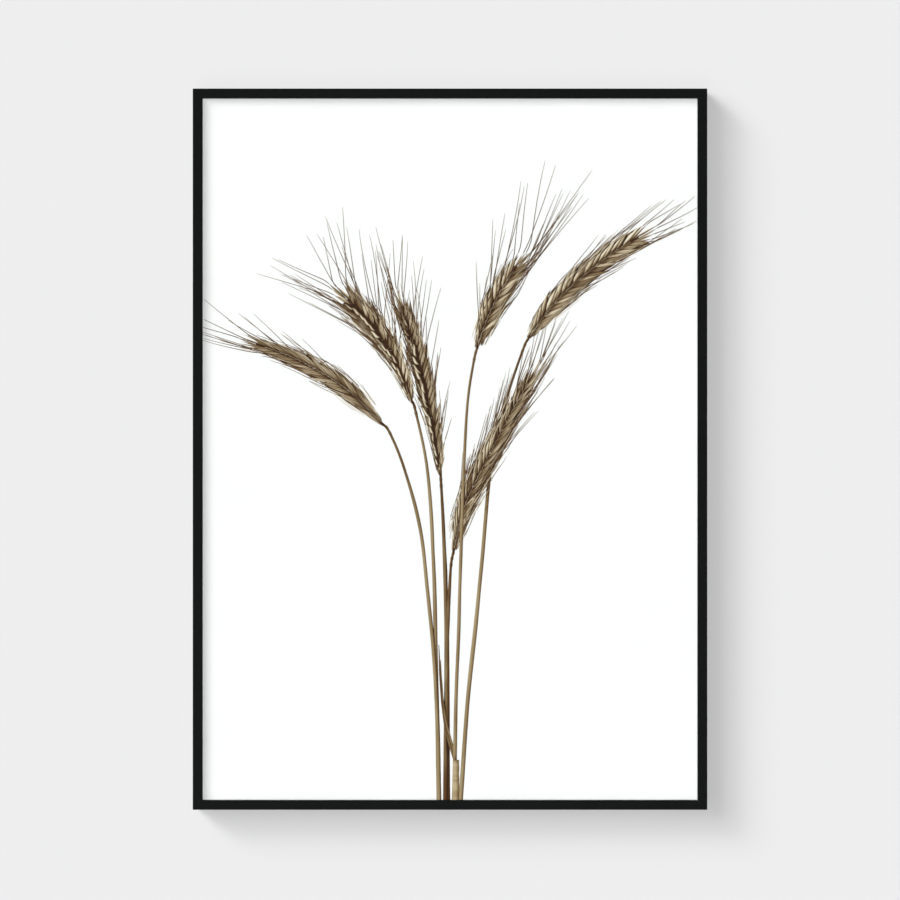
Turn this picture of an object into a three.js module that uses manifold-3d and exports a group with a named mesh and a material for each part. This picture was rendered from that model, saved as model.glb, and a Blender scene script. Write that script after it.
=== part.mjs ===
// A slim black picture frame with an A2 print: four mitred box-section rails keyed at the corners, glass,
// print and backing board held forward by bowed springs, and two toothed hangers. Millimetres, +Z up. The
// picture faces -Y and the wall is the plane Y = 0. The origin is the nail point of the portrait hanger.
import * as THREE from 'three';
import { mergeVertices } from 'three/addons/utils/BufferGeometryUtils.js';
import Module from 'manifold-3d';

const wasm = await Module();
wasm.setup();

// Sheet and frame sizes
const SHEET_W = 420;
const SHEET_H = 594;
const POCKET_PLAY = 1; // room round the sheet on each side
const BODY_W = 5.5; // width of the rail's box section
const FACE_W = 8.2; // width of the front face, lip included
const OUTER_W = SHEET_W + 2 * (POCKET_PLAY + BODY_W);
const OUTER_H = SHEET_H + 2 * (POCKET_PLAY + BODY_W);

// Rail section, measured back from the front face
const RAIL_DEPTH = 20;
const WALL_T = 1.1;
const LIP_T = 1.6;
const REAR_LIP_FRONT = 11.4;
const REAR_LIP_T = 1.2;
const REAR_LIP_W = 3.5;
const EDGE_R = 0.45;
const MITRE_GAP = 0.06;

// The pack in the rails' channel
const FIT_GAP = 0.15;
const GLASS_T = 2;
const AIR_GAP = 0.45; // between the glass and the printed side
const SHEET_T = 0.3;
const BOARD_T = 3;
const PANEL_PLAY = 0.5; // room round the glass and the board

// Corner keys and their screws
const KEY_LEG = 46;
const KEY_GAP = 0.3;
const KEY_SCREW_AT = 24; // from the outer corner, along the rail
const KEY_SCREW_DEPTH = 16.4;
const GRUB_R = 1.45;
const GRUB_LENGTH = 3.6;
const GRUB_HOLE_R = 1.6;
const HEX_R = 0.87;
const HEX_DEPTH = 1.7;

// Springs
const SPRING_LENGTH = 62;
const SPRING_W = 9;
const SPRING_T = 0.5;

// Hangers
const PLATE_T = 1;
const HANGER_W = 40;
const HANGER_DROP = 12; // nail point below the frame's outer edge
const HANGER_BELOW = 10; // plate below the nail point
const HANGER_LEG = 5.9;
const HANGER_BACK = 19.4; // back face of the plate
const WINDOW_W = 17.5;
const WINDOW_H = 7;
const TOOTH_COUNT = 5;
const TOOTH_H = 1.2;
const SCREW_SPREAD = 13; // of the two hanger screws, from the middle
const SCREW_DEPTH = 15.6;
const SCREW_R = 1.2;
const SCREW_HOLE_R = 1.4;
const SCREW_LENGTH = 4;
const SCREW_HEAD_R = 2.3;
const SCREW_HEAD_H = 1.4;

// Wall pads
const PAD_T = 2;
const PAD_L = 16;
const PAD_W = 4.5;
const PAD_INSET = 34; // from the outer corner, along the rail

const TOTAL_DEPTH = RAIL_DEPTH + PAD_T;
const CENTRE_Z = HANGER_DROP - OUTER_H / 2;
const GLASS_FRONT = LIP_T + FIT_GAP;
const SHEET_FRONT = GLASS_FRONT + GLASS_T + AIR_GAP;
const BOARD_FRONT = SHEET_FRONT + SHEET_T + FIT_GAP;
const BOARD_BACK = BOARD_FRONT + BOARD_T;

const finish = (color, roughness, metalness, more = {}) =>
  new THREE.MeshStandardMaterial({ color, roughness, metalness, ...more });
const blackAnodised = () => finish(0x181919, 0.45, 0.6);
const dieCast = () => finish(0x9a9c9d, 0.55, 0.8);
const zincSteel = () => finish(0xb4b8bb, 0.35, 0.9);
const springSteel = () => finish(0x84888c, 0.3, 0.95);
const pictureGlass = () => finish(0xf4f8f7, 0.05, 0, { transparent: true, opacity: 0.12 });
const artPaper = () => finish(0xf7f7f5, 0.85, 0);
const rawBoard = () => finish(0x9b7a54, 0.9, 0);
const padRubber = () => finish(0x202020, 0.8, 0);

/** Joins a geometry's shared points, so that it can be cut. */
function welded(geometry) {
  const bare = geometry.clone();
  bare.deleteAttribute('normal');
  bare.deleteAttribute('uv');
  return mergeVertices(bare.index ? bare : bare.clone(), 1e-4);
}

function toSolid(geometry) {
  const { attributes, index } = welded(geometry);
  const mesh = { numProp: 3, vertProperties: attributes.position.array, triVerts: Uint32Array.from(index.array) };
  return new wasm.Manifold(new wasm.Mesh(mesh));
}

function fromSolid(solid) {
  const { vertProperties, triVerts } = solid.getMesh();
  const geometry = new THREE.BufferGeometry();
  geometry.setAttribute('position', new THREE.BufferAttribute(vertProperties, 3));
  geometry.setIndex(new THREE.BufferAttribute(triVerts, 1));
  return geometry;
}

function cut(geometry, tools) {
  return fromSolid(tools.reduce((solid, tool) => solid.subtract(toSolid(tool)), toSolid(geometry)));
}

/** A polygon with its corners rounded: each point is [x, y, radius]. */
function roundedOutline(points, Kind = THREE.Shape) {
  const outline = new Kind();
  points.forEach(([x, y, radius = 0], i) => {
    const here = new THREE.Vector2(x, y);
    const towards = (other) => new THREE.Vector2(other[0] - x, other[1] - y).setLength(radius).add(here);
    const from = towards(points.at(i - 1));
    const to = towards(points[(i + 1) % points.length]);
    if (i === 0) outline.moveTo(from.x, from.y);
    else outline.lineTo(from.x, from.y);
    if (radius > 0) outline.quadraticCurveTo(x, y, to.x, to.y);
  });
  outline.closePath();
  return outline;
}

function rectangle(width, height, radius, Kind = THREE.Shape) {
  const [x, y] = [width / 2, height / 2];
  return roundedOutline([[-x, -y, radius], [x, -y, radius], [x, y, radius], [-x, y, radius]], Kind);
}

function extruded(shape, depth, curveSegments = 4) {
  return new THREE.ExtrudeGeometry(shape, { depth, bevelEnabled: false, curveSegments });
}

/** A pin along Z, centred on the origin. */
function pin(radius, length, sides = 20) {
  return new THREE.CylinderGeometry(radius, radius, length, sides).rotateX(Math.PI / 2);
}

/** The rail's section: x runs inwards from the outer face and y runs back from the front face. */
function railSection() {
  const shape = roundedOutline([
    [0, 0, EDGE_R],
    [FACE_W, 0, EDGE_R],
    [FACE_W, LIP_T, EDGE_R / 2],
    [BODY_W, LIP_T, 0],
    [BODY_W, REAR_LIP_FRONT, 0],
    [BODY_W + REAR_LIP_W, REAR_LIP_FRONT, EDGE_R / 2],
    [BODY_W + REAR_LIP_W, REAR_LIP_FRONT + REAR_LIP_T, EDGE_R / 2],
    [BODY_W, REAR_LIP_FRONT + REAR_LIP_T, 0],
    [BODY_W, RAIL_DEPTH, EDGE_R],
    [0, RAIL_DEPTH, EDGE_R],
  ]);
  const [near, far] = [WALL_T, BODY_W - WALL_T];
  shape.holes.push(roundedOutline([
    [near, WALL_T, 0.2],
    [near, RAIL_DEPTH - WALL_T, 0.2],
    [far, RAIL_DEPTH - WALL_T, 0.2],
    [far, WALL_T, 0.2],
  ], THREE.Path));
  return shape;
}

/** A rail along X with its outer face up at Z = 0 and its front face at Y = 0, mitred at both ends. */
function rail(length, screwHoles) {
  const geometry = extruded(railSection(), length, 3);
  const points = geometry.attributes.position;
  for (let i = 0; i < points.count; i += 1) {
    const inwards = points.getX(i) + MITRE_GAP;
    const atStart = points.getZ(i) < length / 2;
    points.setZ(i, (atStart ? inwards : length - inwards) - length / 2);
  }
  geometry.rotateY(Math.PI / 2);
  const tools = screwHoles.map(({ along, depth, radius }) =>
    pin(radius, 3).translate(along, depth, -BODY_W));
  return cut(geometry, tools);
}

/** The key for the top right corner, which is the origin: two legs, one in the chamber of each rail. */
function cornerKey() {
  const near = WALL_T + KEY_GAP;
  const far = BODY_W - WALL_T - KEY_GAP;
  const outline = roundedOutline([
    [-near, -near, 0.6],
    [-near, -KEY_LEG, 0.5],
    [-far, -KEY_LEG, 0.5],
    [-far, -far, 0.4],
    [-KEY_LEG, -far, 0.5],
    [-KEY_LEG, -near, 0.5],
  ]);
  const height = RAIL_DEPTH - 2 * near;
  // Extruding along +Z and turning about X lays the outline's y on +Z and the extrusion on -Y.
  const blank = extruded(outline, height).rotateX(Math.PI / 2).translate(0, near + height, 0);
  const hole = () => pin(GRUB_HOLE_R, 8);
  return cut(blank, [
    hole().translate(-KEY_SCREW_AT, KEY_SCREW_DEPTH, -BODY_W / 2),
    hole().rotateY(Math.PI / 2).translate(-BODY_W / 2, KEY_SCREW_DEPTH, -KEY_SCREW_AT),
  ]);
}

/** A socket grub screw along Z, with its socket end down at Z = 0. */
function grubScrew() {
  const chamfer = 0.3;
  const profile = [[0, 0], [GRUB_R - chamfer, 0], [GRUB_R, chamfer], [GRUB_R, GRUB_LENGTH - 0.7],
    [GRUB_R - 0.7, GRUB_LENGTH], [0, GRUB_LENGTH]];
  const body = new THREE.LatheGeometry(profile.map(([r, y]) => new THREE.Vector2(r, y)), 20);
  return cut(body.rotateX(Math.PI / 2), [pin(HEX_R, 2 * HEX_DEPTH, 6)]);
}

/** A pan-head screw along Z, with the underside of its head at Z = 0 and the shank above. */
function panScrew() {
  const head = Array.from({ length: 7 }, (_, i) => {
    const turn = (i / 6) * Math.PI / 2;
    return [SCREW_HEAD_R * Math.sin(turn), -SCREW_HEAD_H * (0.35 + 0.65 * Math.cos(turn))];
  });
  const profile = [...head, [SCREW_HEAD_R, 0], [SCREW_R, 0], [SCREW_R, SCREW_LENGTH - 0.8],
    [0.4, SCREW_LENGTH], [0, SCREW_LENGTH]];
  const body = new THREE.LatheGeometry(profile.map(([r, y]) => new THREE.Vector2(r, y)), 20);
  const slot = () => new THREE.BoxGeometry(2.6, 0.55, 1.8).translate(0, 0, -SCREW_HEAD_H);
  return cut(body.rotateX(Math.PI / 2), [slot(), slot().rotateZ(Math.PI / 2)]);
}

/** A panel in the XZ plane, centred, with its front face at Y = 0. */
function panel(width, height, thickness, radius) {
  return extruded(rectangle(width, height, radius), thickness).rotateX(Math.PI / 2).translate(0, thickness, 0);
}

/** A bowed strip along X: its middle is at Y = 0 and its ends reach the rear lip. It spans Z = 0 down. */
function springClip() {
  const rise = REAR_LIP_FRONT - BOARD_BACK - SPRING_T - 2 * FIT_GAP;
  const steps = 14;
  const curve = Array.from({ length: steps + 1 }, (_, i) => {
    const t = (2 * i) / steps - 1;
    return [(t * SPRING_LENGTH) / 2, rise * t * t];
  });
  const back = curve.map(([x, y]) => [x, y + SPRING_T]).reverse();
  const outline = new THREE.Shape([...curve, ...back].map(([x, y]) => new THREE.Vector2(x, y)));
  return extruded(outline, SPRING_W).translate(0, 0, -SPRING_W);
}

/** The toothed window that takes the nail: its notches reach z = 0 and it runs down from there. */
function hangerWindow() {
  const pitch = WINDOW_W / TOOTH_COUNT;
  const outline = new THREE.Shape();
  outline.moveTo(-WINDOW_W / 2, -WINDOW_H);
  outline.lineTo(WINDOW_W / 2, -WINDOW_H);
  for (let i = 0; i < TOOTH_COUNT; i += 1) {
    const right = WINDOW_W / 2 - i * pitch;
    outline.lineTo(right, -TOOTH_H);
    outline.lineTo(right - pitch / 2, 0);
  }
  outline.lineTo(-WINDOW_W / 2, -TOOTH_H);
  outline.closePath();
  return extruded(outline, 6).rotateX(Math.PI / 2).translate(0, HANGER_BACK + 3, 0);
}

/** A bent plate: a leg under the rail's inner wall and a plate that hangs from it, with the nail at z = 0. */
function hanger() {
  const top = HANGER_DROP - BODY_W - FIT_GAP;
  const front = HANGER_BACK - HANGER_LEG;
  const bend = roundedOutline([
    [front, top, 0.3],
    [front, top - PLATE_T, 0.3],
    [HANGER_BACK - PLATE_T, top - PLATE_T, 0.4],
    [HANGER_BACK - PLATE_T, -HANGER_BELOW, 0.2],
    [HANGER_BACK, -HANGER_BELOW, 0.2],
    [HANGER_BACK, top, 1.2],
  ]);
  // Turning the extrusion lays the outline's x on +Y and its y on +Z.
  const blank = extruded(bend, HANGER_W).rotateX(Math.PI / 2).rotateZ(Math.PI / 2);
  blank.translate(-HANGER_W / 2, 0, 0);
  const reach = 2 * (top + HANGER_BELOW);
  const face = extruded(rectangle(HANGER_W - 0.02, reach, 3), 40).rotateX(Math.PI / 2);
  face.translate(0, 40, top + reach / 2 - (top + HANGER_BELOW) - 0.01);
  const kept = toSolid(blank).intersect(toSolid(face));
  const holes = [-1, 1].map((side) =>
    pin(SCREW_HOLE_R, 4).translate(side * SCREW_SPREAD, SCREW_DEPTH, top));
  return cut(fromSolid(kept), [hangerWindow(), ...holes]);
}

function wallPad() {
  const shape = rectangle(PAD_L, PAD_W, 1.6);
  const bevel = { bevelThickness: 0.4, bevelSize: 0.4, bevelOffset: -0.4, bevelSegments: 2 };
  const depth = PAD_T - 2 * bevel.bevelThickness - FIT_GAP;
  const pad = new THREE.ExtrudeGeometry(shape, { depth, bevelEnabled: true, curveSegments: 4, ...bevel });
  return pad.rotateX(Math.PI / 2).translate(0, TOTAL_DEPTH - bevel.bevelThickness, 0);
}

const frame = new THREE.Group();
frame.name = 'framed_art_print';
const front = new THREE.Group(); // the middle of the frame's front face
front.position.set(0, -TOTAL_DEPTH, CENTRE_Z);
frame.add(front);

function place(parent, name, geometry, material, x = 0, y = 0, z = 0) {
  const mesh = new THREE.Mesh(welded(geometry), material);
  mesh.name = name;
  mesh.position.set(x, y, z);
  mesh.geometry.computeVertexNormals();
  parent.add(mesh);
  return mesh;
}

/** The four sides in turn, each in a group whose +Z points out of the frame, with its origin on the edge. */
const SIDES = ['top', 'right', 'bottom', 'left'].map((name, quarter) => {
  const upright = quarter % 2 === 1;
  const [length, across] = upright ? [OUTER_H, OUTER_W] : [OUTER_W, OUTER_H];
  const turned = new THREE.Group();
  turned.rotation.y = (quarter * Math.PI) / 2;
  front.add(turned);
  const group = new THREE.Group();
  group.position.z = across / 2;
  turned.add(group);
  return { name, length, group };
});

const HANGER_SIDES = { top: 'portrait', left: 'landscape' };

for (const { name, length, group } of SIDES) {
  const keyHoles = [-1, 1].map((end) => ({
    along: end * (length / 2 - KEY_SCREW_AT), depth: KEY_SCREW_DEPTH, radius: GRUB_HOLE_R }));
  const style = HANGER_SIDES[name];
  const hangerHoles = style
    ? [-1, 1].map((side) => ({ along: side * SCREW_SPREAD, depth: SCREW_DEPTH, radius: SCREW_HOLE_R }))
    : [];
  place(group, `rail_${name}`, rail(length, [...keyHoles, ...hangerHoles]), blackAnodised());

  keyHoles.forEach(({ along, depth }, i) =>
    place(group, `key_screw_${name}_${i + 1}`, grubScrew(), zincSteel(), along, depth, -BODY_W + 0.1));

  [-1, 1].forEach((end, i) => place(group, `spring_clip_${name}_${i + 1}`, springClip(), springSteel(),
    end * length * 0.27, BOARD_BACK + FIT_GAP, -BODY_W - FIT_GAP));

  if (style) {
    place(group, `hanger_${style}`, hanger(), zincSteel(), 0, 0, -HANGER_DROP);
    hangerHoles.forEach(({ along, depth }, i) => place(group, `hanger_screw_${style}_${i + 1}`, panScrew(),
      zincSteel(), along, depth, -BODY_W - 2 * FIT_GAP - PLATE_T));
  }
}

['top_right', 'bottom_right', 'bottom_left', 'top_left'].forEach((name, quarter) => {
  const corner = new THREE.Group();
  const across = quarter % 2 === 1 ? -1 : 1;
  corner.rotation.y = (quarter * Math.PI) / 2;
  const [x, z] = [[1, 1], [1, -1], [-1, -1], [-1, 1]][quarter];
  corner.position.set((x * OUTER_W) / 2, 0, (z * OUTER_H) / 2);
  front.add(corner);
  place(corner, `corner_key_${name}`, cornerKey(), dieCast());
  const pad = new THREE.Group();
  pad.position.set(x * (OUTER_W / 2 - PAD_INSET), 0, z * (OUTER_H / 2 - BODY_W / 2));
  front.add(pad);
  place(pad, `wall_pad_${name}`, wallPad(), padRubber());
});

/** The glass, the sheet and the board rest on the bottom rail's inner wall. */
function placePanel(name, width, height, thickness, radius, depth, material) {
  const rest = -OUTER_H / 2 + BODY_W + FIT_GAP + height / 2;
  place(front, name, panel(width, height, thickness, radius), material, 0, depth, rest);
}

const [PANEL_W, PANEL_H] = [SHEET_W + 2 * PANEL_PLAY, SHEET_H + 2 * PANEL_PLAY];
placePanel('glazing', PANEL_W, PANEL_H, GLASS_T, 0.6, GLASS_FRONT, pictureGlass());
placePanel('print_sheet', SHEET_W, SHEET_H, SHEET_T, 0.3, SHEET_FRONT, artPaper());
placePanel('backing_board', PANEL_W, PANEL_H, BOARD_T, 1.2, BOARD_FRONT, rawBoard());

export default frame;
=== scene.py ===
"""A slim black frame with a wheat-ear print: finishes for the frame's parts and the picture on its sheet.

The frame's rails, glass, sheet, board, springs and hangers are carried over and dressed. The picture is made
here: six awned ears and their stems are modelled in full relief, lit once, and pressed almost flat against
the sheet, so that they read as ink on paper and still overlap in the right order.
"""

import logging
import math
from dataclasses import dataclass, field
from enum import Enum

import bpy
import numpy as np
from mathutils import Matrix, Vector
from mathutils.bvhtree import BVHTree


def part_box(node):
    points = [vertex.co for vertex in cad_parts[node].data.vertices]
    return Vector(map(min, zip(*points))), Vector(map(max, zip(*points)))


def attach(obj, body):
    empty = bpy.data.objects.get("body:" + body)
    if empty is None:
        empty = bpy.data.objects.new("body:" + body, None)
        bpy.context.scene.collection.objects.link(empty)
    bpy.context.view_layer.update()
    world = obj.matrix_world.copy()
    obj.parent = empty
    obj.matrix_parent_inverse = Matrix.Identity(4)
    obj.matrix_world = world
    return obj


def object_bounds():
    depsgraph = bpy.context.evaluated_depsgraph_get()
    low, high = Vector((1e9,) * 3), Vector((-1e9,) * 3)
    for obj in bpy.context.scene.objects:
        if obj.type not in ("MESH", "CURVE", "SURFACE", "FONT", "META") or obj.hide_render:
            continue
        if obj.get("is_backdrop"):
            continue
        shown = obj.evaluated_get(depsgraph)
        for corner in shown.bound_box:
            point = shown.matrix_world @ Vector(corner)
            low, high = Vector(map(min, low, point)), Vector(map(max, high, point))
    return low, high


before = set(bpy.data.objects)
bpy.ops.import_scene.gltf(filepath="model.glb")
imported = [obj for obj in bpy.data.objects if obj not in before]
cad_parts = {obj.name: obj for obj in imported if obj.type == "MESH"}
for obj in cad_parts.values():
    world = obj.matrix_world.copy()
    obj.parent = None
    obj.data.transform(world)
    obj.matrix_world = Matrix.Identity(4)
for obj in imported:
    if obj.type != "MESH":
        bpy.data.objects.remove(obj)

log = logging.getLogger("framed_print")

MM = 0.001
INK = "ink"  # the colour attribute that holds the printed picture
BAKE_MAP = "OFBake"

Array = np.ndarray
Colour = tuple[float, float, float]
SheetPoint = tuple[float, float]  # mm right of the sheet's middle, mm above its bottom edge


def to_linear(colour: Array | Colour) -> Array:
    """Turns screen colour values into linear light.

    Args:
        colour: Values from 0 to 1 as they show on a screen.

    Returns:
        The same colour in linear light.
    """
    c = np.asarray(colour, float)
    return np.where(c <= 0.04045, c / 12.92, ((c + 0.055) / 1.055) ** 2.4)


def screen_rgb(red: int, green: int, blue: int) -> Array:
    """Linear light for a colour given as 0 to 255 on a screen."""
    return to_linear(np.array([red, green, blue]) / 255)


def unit(vectors: Array) -> Array:
    """Vectors scaled to length 1 along the last axis."""
    return vectors / np.maximum(np.linalg.norm(vectors, axis=-1, keepdims=True), 1e-9)


def add_object(name: str, data: bpy.types.ID) -> bpy.types.Object:
    """Puts new data in the scene.

    Args:
        name: The object's name.
        data: Its mesh, light or camera.

    Returns:
        The new object.
    """
    made = bpy.data.objects.new(name, data)
    bpy.context.scene.collection.objects.link(made)
    return made


# ---------------------------------------------------------------------------------------------------------
# Node boards and shared effects
# ---------------------------------------------------------------------------------------------------------


class Board:
    """A node tree with nodes laid out from left to right as they are added."""

    def __init__(self, tree: bpy.types.NodeTree) -> None:
        """Empties the tree.

        Args:
            tree: The material's, world's or group's node tree.
        """
        self.tree = tree
        self.tree.nodes.clear()
        self.count = 0

    def add(self, kind: str, inputs: dict[str | int, object] | None = None,
            **settings: object) -> bpy.types.Node:
        """Adds a node.

        Args:
            kind: The node's type name.
            inputs: For each input, a value to set or an output socket to link.
            **settings: The node's own properties.

        Returns:
            The new node.
        """
        node = self.tree.nodes.new(kind)
        node.location = (self.count * 190.0, -(self.count % 3) * 140.0)
        self.count += 1
        for key, value in settings.items():
            setattr(node, key, value)
        for key, value in (inputs or {}).items():
            if isinstance(value, bpy.types.NodeSocket):
                self.tree.links.new(value, node.inputs[key])
            else:
                node.inputs[key].default_value = value
        return node

    def ramp(self, value: bpy.types.NodeSocket, stops: list[tuple[float, Colour]]) -> bpy.types.NodeSocket:
        """Maps a value through colour stops.

        Args:
            value: The socket to read.
            stops: Positions and linear colours.

        Returns:
            The ramp's colour output.
        """
        node = self.add("ShaderNodeValToRGB", {0: value})
        ramp = node.color_ramp
        while len(ramp.elements) < len(stops):
            ramp.elements.new(1.0)
        for element, (position, colour) in zip(ramp.elements, stops, strict=True):
            element.position = position
            element.color = (*colour, 1.0)
        return node.outputs["Color"]

    def spread(self, value: bpy.types.NodeSocket, low: float, high: float) -> bpy.types.NodeSocket:
        """Maps 0 to 1 onto low to high.

        Args:
            value: The socket to read.
            low: The result for 0.
            high: The result for 1.

        Returns:
            The mapped value's socket.
        """
        return self.add("ShaderNodeMapRange", {0: value, 3: low, 4: high}).outputs[0]


def start_material(name: str) -> tuple[bpy.types.Material, Board, bpy.types.NodeSocket]:
    """Starts a material that is laid out in the part's own coordinates.

    Args:
        name: The material's name.

    Returns:
        The material, its board and the socket of the coordinates.
    """
    made = bpy.data.materials.new(name)
    made.use_nodes = True
    board = Board(made.node_tree)
    return made, board, board.add("ShaderNodeTexCoord").outputs["Object"]


class Effect(Enum):
    """Shader groups that more than one finish uses."""

    PAPER_TOOTH = "paper tooth"
    DRAWN_LINES = "drawn lines"
    HANDLING = "handling marks"


class Effects:
    """Makes each shared group once and places it where it is asked for."""

    def __init__(self) -> None:
        """Builds the three groups."""
        self.groups = {
            Effect.PAPER_TOOTH: self.paper_tooth(),
            Effect.DRAWN_LINES: self.drawn_lines(),
            Effect.HANDLING: self.handling(),
        }

    def place(self, board: Board, effect: Effect, **inputs: object) -> bpy.types.Node:
        """Places a group in a material.

        Args:
            board: The material's board.
            effect: Which group.
            **inputs: The group's inputs by name, with _ for each space.

        Returns:
            The group node.
        """
        values = {name.replace("_", " "): value for name, value in inputs.items()}
        return board.add("ShaderNodeGroup", values, node_tree=self.groups[effect])

    @staticmethod
    def start(effect: Effect, inputs: dict[str, float], outputs: list[str]) -> tuple[Board, bpy.types.Node]:
        """Opens a new group.

        Args:
            effect: Which group.
            inputs: Input names and their usual values; "Vector" is added first.
            outputs: Output names, all plain values.

        Returns:
            The group's board and its input node.
        """
        tree = bpy.data.node_groups.new(effect.value, "ShaderNodeTree")
        tree.interface.new_socket("Vector", in_out="INPUT", socket_type="NodeSocketVector")
        for name, usual in inputs.items():
            socket = tree.interface.new_socket(name, in_out="INPUT", socket_type="NodeSocketFloat")
            socket.default_value = usual
        for name in outputs:
            tree.interface.new_socket(name, in_out="OUTPUT", socket_type="NodeSocketFloat")
        board = Board(tree)
        return board, board.add("NodeGroupInput")

    def paper_tooth(self) -> bpy.types.NodeTree:
        """The felt surface of an uncoated sheet.

        Returns:
            A group with a Height and a slow Mottle, both from 0 to 1.
        """
        board, given = self.start(Effect.PAPER_TOOTH, {"Scale": 900.0}, ["Height", "Mottle"])
        place, scale = given.outputs["Vector"], given.outputs["Scale"]
        fine = board.add("ShaderNodeTexNoise", {"Vector": place, "Scale": scale, "Detail": 5.0,
                                                "Roughness": 0.62})
        fibre = board.add("ShaderNodeTexVoronoi", {"Vector": place, "Scale": scale}, feature="SMOOTH_F1")
        height = board.add("ShaderNodeMix", {0: 0.35, 2: fine.outputs["Fac"], 3: fibre.outputs["Distance"]})
        slow = board.add("ShaderNodeTexNoise", {"Vector": place, "Scale": 14.0, "Detail": 3.0})
        board.add("NodeGroupOutput", {"Height": height.outputs[0], "Mottle": slow.outputs["Fac"]})
        return board.tree

    def drawn_lines(self) -> bpy.types.NodeTree:
        """Fine lines left along a drawn or rolled metal.

        Returns:
            A group with Lines from 0 to 1; Vector is stretched along the drawing direction beforehand.
        """
        board, given = self.start(Effect.DRAWN_LINES, {"Scale": 1500.0}, ["Lines"])
        place, scale = given.outputs["Vector"], given.outputs["Scale"]
        broad = board.add("ShaderNodeTexNoise", {"Vector": place, "Scale": scale, "Detail": 4.0,
                                                 "Roughness": 0.7})
        sharp = board.add("ShaderNodeMapRange", {0: broad.outputs["Fac"], 1: 0.3, 2: 0.7})
        board.add("NodeGroupOutput", {"Lines": sharp.outputs[0]})
        return board.tree

    def handling(self) -> bpy.types.NodeTree:
        """Soft smudges and specks that handling leaves.

        Returns:
            A group with Smudge and Speck, both from 0 to 1.
        """
        board, given = self.start(Effect.HANDLING, {"Scale": 18.0}, ["Smudge", "Speck"])
        place, scale = given.outputs["Vector"], given.outputs["Scale"]
        cloud = board.add("ShaderNodeTexNoise", {"Vector": place, "Scale": scale, "Detail": 6.0,
                                                 "Distortion": 0.6})
        smudge = board.add("ShaderNodeMapRange", {0: cloud.outputs["Fac"], 1: 0.35, 2: 0.7})
        dots = board.add("ShaderNodeTexNoise", {"Vector": place, "Scale": 2600.0, "Detail": 1.0})
        speck = board.add("ShaderNodeMapRange", {0: dots.outputs["Fac"], 1: 0.62, 2: 0.75})
        board.add("NodeGroupOutput", {"Smudge": smudge.outputs[0], "Speck": speck.outputs[0]})
        return board.tree


# ---------------------------------------------------------------------------------------------------------
# Finishes
# ---------------------------------------------------------------------------------------------------------


class Run(Enum):
    """The way that a piece of metal was drawn, as the stretch that its lines need."""

    ALONG_X = (0.02, 1.0, 1.0)
    ALONG_Z = (1.0, 1.0, 0.02)


@dataclass(frozen=True)
class MetalFinish:
    """A drawn, rolled or plated metal.

    Attributes:
        name: The material's name.
        dark: Linear colour of the smudges.
        light: Linear colour of the clean surface.
        metallic: From 0, painted or anodised, to 1, bare.
        smooth: Roughness of the cleanest places.
        rough: Roughness of the smudged places.
        line_depth: Height of the drawn lines in metres.
        run: The way that the lines go.
        coat: Clear coat weight.
        specular: Level of the surface's mirror light, where 0.5 is usual.
    """

    name: str
    dark: Colour
    light: Colour
    metallic: float
    smooth: float
    rough: float
    line_depth: float
    run: Run = Run.ALONG_X
    coat: float = 0.0
    specular: float = 0.5

    def material(self, effects: Effects) -> bpy.types.Material:
        """Makes the material.

        Args:
            effects: The shared groups.

        Returns:
            The new material.
        """
        made, board, place = start_material(self.name)
        stretched = board.add("ShaderNodeMapping", {"Vector": place, "Scale": self.run.value})
        lines = effects.place(board, Effect.DRAWN_LINES, Vector=stretched.outputs[0]).outputs["Lines"]
        marks = effects.place(board, Effect.HANDLING, Vector=place)
        colour = board.ramp(marks.outputs["Smudge"], [(0.0, self.light), (1.0, self.dark)])
        wear = board.add("ShaderNodeMath", {0: lines, 1: marks.outputs["Smudge"]}, operation="MULTIPLY")
        bump = board.add("ShaderNodeBump", {"Height": lines, "Distance": self.line_depth, "Strength": 0.6})
        shader = board.add("ShaderNodeBsdfPrincipled", {
            "Base Color": colour,
            "Metallic": self.metallic,
            "Roughness": board.spread(wear.outputs[0], self.smooth, self.rough),
            "Coat Weight": self.coat,
            "Coat Roughness": 0.35,
            "Specular IOR Level": self.specular,
            "Normal": bump.outputs[0],
        })
        board.add("ShaderNodeOutputMaterial", {"Surface": shader.outputs[0]})
        return made


@dataclass(frozen=True)
class PictureGlass:
    """Clear float glass that covers the sheet.

    Attributes:
        tint: Linear colour of light that passes through one face.
        straight: Share of the light that a face mirrors straight back.
        smear: Roughness where it was wiped least well.
    """

    tint: Colour = (0.995, 1.0, 0.998)
    straight: float = 0.034
    smear: float = 0.04

    def material(self, effects: Effects) -> bpy.types.Material:
        """Makes the material.

        Args:
            effects: The shared groups.

        Returns:
            Glass that mirrors by its angle and lets the light through to the sheet.
        """
        made, board, place = start_material("picture glass")
        marks = effects.place(board, Effect.HANDLING, Vector=place, Scale=7.0)
        clear = board.add("ShaderNodeBsdfTransparent", {"Color": (*self.tint, 1.0)})
        mirror = board.add("ShaderNodeBsdfGlossy", {
            "Color": (1.0, 1.0, 1.0, 1.0),
            "Roughness": board.spread(marks.outputs["Smudge"], 0.015, self.smear),
        })
        slant = board.add("ShaderNodeLayerWeight", {"Blend": 0.5}).outputs["Facing"]
        glance = board.add("ShaderNodeMath", {0: slant, 1: 5.0}, operation="POWER").outputs[0]
        share = board.spread(glance, self.straight, 1.0)
        pane = board.add("ShaderNodeMixShader", {0: share, 1: clear.outputs[0], 2: mirror.outputs[0]})
        path = board.add("ShaderNodeLightPath")
        lets = board.add("ShaderNodeMixShader", {0: path.outputs["Is Shadow Ray"], 1: pane.outputs[0],
                                                 2: clear.outputs[0]})
        board.add("ShaderNodeOutputMaterial", {"Surface": lets.outputs[0]})
        return made


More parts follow.
